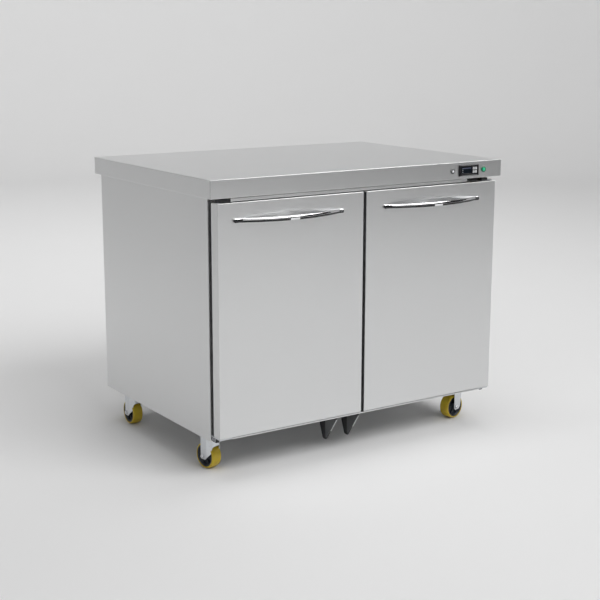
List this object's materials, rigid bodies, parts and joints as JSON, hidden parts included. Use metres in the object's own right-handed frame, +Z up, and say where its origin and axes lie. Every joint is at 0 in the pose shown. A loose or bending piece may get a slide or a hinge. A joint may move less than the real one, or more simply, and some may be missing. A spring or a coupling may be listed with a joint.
{
  "type": "undercounter refrigerator",
  "caption": "Low stainless refrigerator counter with hinged solid doors, bow handles, a digital controller in the worktop edge and swivel castors.",
  "frame": {"origin": "middle of the whole object's box, on the floor that the castors stand on", "axes": "+X to the right seen from the front, +Y to the back, +Z up; the doors face -Y"},
  "size_m": [0.985, 0.742, 0.812],
  "materials": {
    "satin_stainless": "satin brushed stainless sheet",
    "zinc": "bright zinc plate",
    "chrome": "polished chrome",
    "foam": "rigid foam",
    "liner": "satin stainless liner",
    "gasket_rubber": "matt black",
    "black_steel": "satin black paint",
    "black_plastic": "gloss black",
    "display": "dark smoked lens",
    "key_rubber": "light grey",
    "green_lens": "lit green lens",
    "white_cap": "off-white gloss",
    "polyurethane": "amber polyurethane",
    "hub_plastic": "dark slate",
    "coated_wire": "light grey nylon coat",
    "enamel": "black enamel",
    "fin_stock": "aluminium fins",
    "inner_door": "light grey moulding"
  },
  "bodies": {
    "cabinet": {"worktop_skin": "satin_stainless", "worktop_core": "foam", "left_side_panel": "satin_stainless", "right_side_panel": "satin_stainless", "base_pan": "satin_stainless", "face_frame": "satin_stainless", "insulation": "foam", "inner_liner": "liner", "centre_mullion": "satin_stainless", "left_shelf": "coated_wire", "right_shelf": "coated_wire", "rear_panel": "satin_stainless", "power_inlet": "black_plastic", "anti_tip_bracket": "black_steel", "controller_housing": "black_plastic", "controller_display": "display", "compressor": "enamel", "condenser_coil": "fin_stock", "condenser_fan_motor": "black_steel", "evaporator_cover": "inner_door", "left_top_hinge": "black_steel", "left_bottom_hinge": "zinc", "right_top_hinge": "black_steel", "right_bottom_hinge": "zinc", "front_left_castor_plate": "zinc", "front_right_castor_plate": "zinc", "rear_left_castor_plate": "zinc", "rear_right_castor_plate": "zinc"},
    "left_door": {"left_door_skin": "satin_stainless", "left_door_inner": "inner_door", "left_door_gasket": "gasket_rubber", "left_door_handle": "chrome"},
    "right_door": {"right_door_skin": "satin_stainless", "right_door_inner": "inner_door", "right_door_gasket": "gasket_rubber", "right_door_handle": "chrome"},
    "front_left_castor_swivel": {"front_left_castor_fork": "zinc", "front_left_castor_axle": "zinc"},
    "front_left_castor_wheel": {"front_left_castor_hub": "hub_plastic", "front_left_castor_tyre": "polyurethane"},
    "front_right_castor_swivel": {"front_right_castor_fork": "zinc", "front_right_castor_axle": "zinc"},
    "front_right_castor_wheel": {"front_right_castor_hub": "hub_plastic", "front_right_castor_tyre": "polyurethane"},
    "rear_left_castor_swivel": {"rear_left_castor_fork": "zinc", "rear_left_castor_axle": "zinc"},
    "rear_left_castor_wheel": {"rear_left_castor_hub": "hub_plastic", "rear_left_castor_tyre": "polyurethane"},
    "rear_right_castor_swivel": {"rear_right_castor_fork": "zinc", "rear_right_castor_axle": "zinc"},
    "rear_right_castor_wheel": {"rear_right_castor_hub": "hub_plastic", "rear_right_castor_tyre": "polyurethane"},
    "condenser_fan": {"condenser_fan": "black_plastic"},
    "evaporator_fan": {"evaporator_fan": "black_plastic"},
    "power_button": {"power_button": "green_lens"},
    "mode_button": {"mode_button": "white_cap"},
    "set_key": {"set_key": "key_rubber"},
    "up_key": {"up_key": "key_rubber"},
    "down_key": {"down_key": "key_rubber"},
    "standby_key": {"standby_key": "key_rubber"}
  },
  "joints": [
    {"name": "left_door_hinge", "type": "hinge", "parent": "cabinet", "child": "left_door", "pos_m": [-0.463, -0.3125, 0.44], "axis": [0, 0, -1], "range_deg": [0, 105]},
    {"name": "right_door_hinge", "type": "hinge", "parent": "cabinet", "child": "right_door", "pos_m": [0.463, -0.3125, 0.44], "axis": [0, 0, 1], "range_deg": [0, 105]},
    {"name": "front_left_castor_turn", "type": "hinge", "parent": "cabinet", "child": "front_left_castor_swivel", "pos_m": [-0.4345, -0.212, 0.0895], "axis": [0, 0, 1], "continuous": true},
    {"name": "front_left_castor_roll", "type": "hinge", "parent": "front_left_castor_swivel", "child": "front_left_castor_wheel", "pos_m": [-0.43624, -0.20215, 0.037], "axis": [0.9848, 0.1736, 0], "continuous": true},
    {"name": "front_right_castor_turn", "type": "hinge", "parent": "cabinet", "child": "front_right_castor_swivel", "pos_m": [0.4345, -0.212, 0.0895], "axis": [0, 0, 1], "continuous": true},
    {"name": "front_right_castor_roll", "type": "hinge", "parent": "front_right_castor_swivel", "child": "front_right_castor_wheel", "pos_m": [0.42465, -0.21374, 0.037], "axis": [-0.1736, 0.9848, 0], "continuous": true},
    {"name": "rear_left_castor_turn", "type": "hinge", "parent": "cabinet", "child": "rear_left_castor_swivel", "pos_m": [-0.4345, 0.264, 0.0895], "axis": [0, 0, 1], "continuous": true},
    {"name": "rear_left_castor_roll", "type": "hinge", "parent": "rear_left_castor_swivel", "child": "rear_left_castor_wheel", "pos_m": [-0.4345, 0.274, 0.037], "axis": [1, 0, 0], "continuous": true},
    {"name": "rear_right_castor_turn", "type": "hinge", "parent": "cabinet", "child": "rear_right_castor_swivel", "pos_m": [0.4345, 0.264, 0.0895], "axis": [0, 0, 1], "continuous": true},
    {"name": "rear_right_castor_roll", "type": "hinge", "parent": "rear_right_castor_swivel", "child": "rear_right_castor_wheel", "pos_m": [0.4345, 0.274, 0.037], "axis": [1, 0, 0], "continuous": true},
    {"name": "condenser_fan_spin", "type": "hinge", "parent": "cabinet", "child": "condenser_fan", "pos_m": [0.2, 0.276, 0.265], "axis": [0, 1, 0], "continuous": true},
    {"name": "evaporator_fan_spin", "type": "hinge", "parent": "cabinet", "child": "evaporator_fan", "pos_m": [0, 0.108, 0.61475], "axis": [0, 1, 0], "continuous": true},
    {"name": "power_button_press", "type": "slide", "parent": "cabinet", "child": "power_button", "axis": [0, 1, 0], "range_m": [0, 0.0015], "stiffness_N_per_m": 400, "springref_m": -0.002},
    {"name": "mode_button_press", "type": "slide", "parent": "cabinet", "child": "mode_button", "axis": [0, 1, 0], "range_m": [0, 0.0015], "stiffness_N_per_m": 400, "springref_m": -0.002},
    {"name": "set_key_press", "type": "slide", "parent": "cabinet", "child": "set_key", "axis": [0, 1, 0], "range_m": [0, 0.0008], "stiffness_N_per_m": 400, "springref_m": -0.002},
    {"name": "up_key_press", "type": "slide", "parent": "cabinet", "child": "up_key", "axis": [0, 1, 0], "range_m": [0, 0.0008], "stiffness_N_per_m": 400, "springref_m": -0.002},
    {"name": "down_key_press", "type": "slide", "parent": "cabinet", "child": "down_key", "axis": [0, 1, 0], "range_m": [0, 0.0008], "stiffness_N_per_m": 400, "springref_m": -0.002},
    {"name": "standby_key_press", "type": "slide", "parent": "cabinet", "child": "standby_key", "axis": [0, 1, 0], "range_m": [0, 0.0008], "stiffness_N_per_m": 400, "springref_m": -0.002}
  ]
}
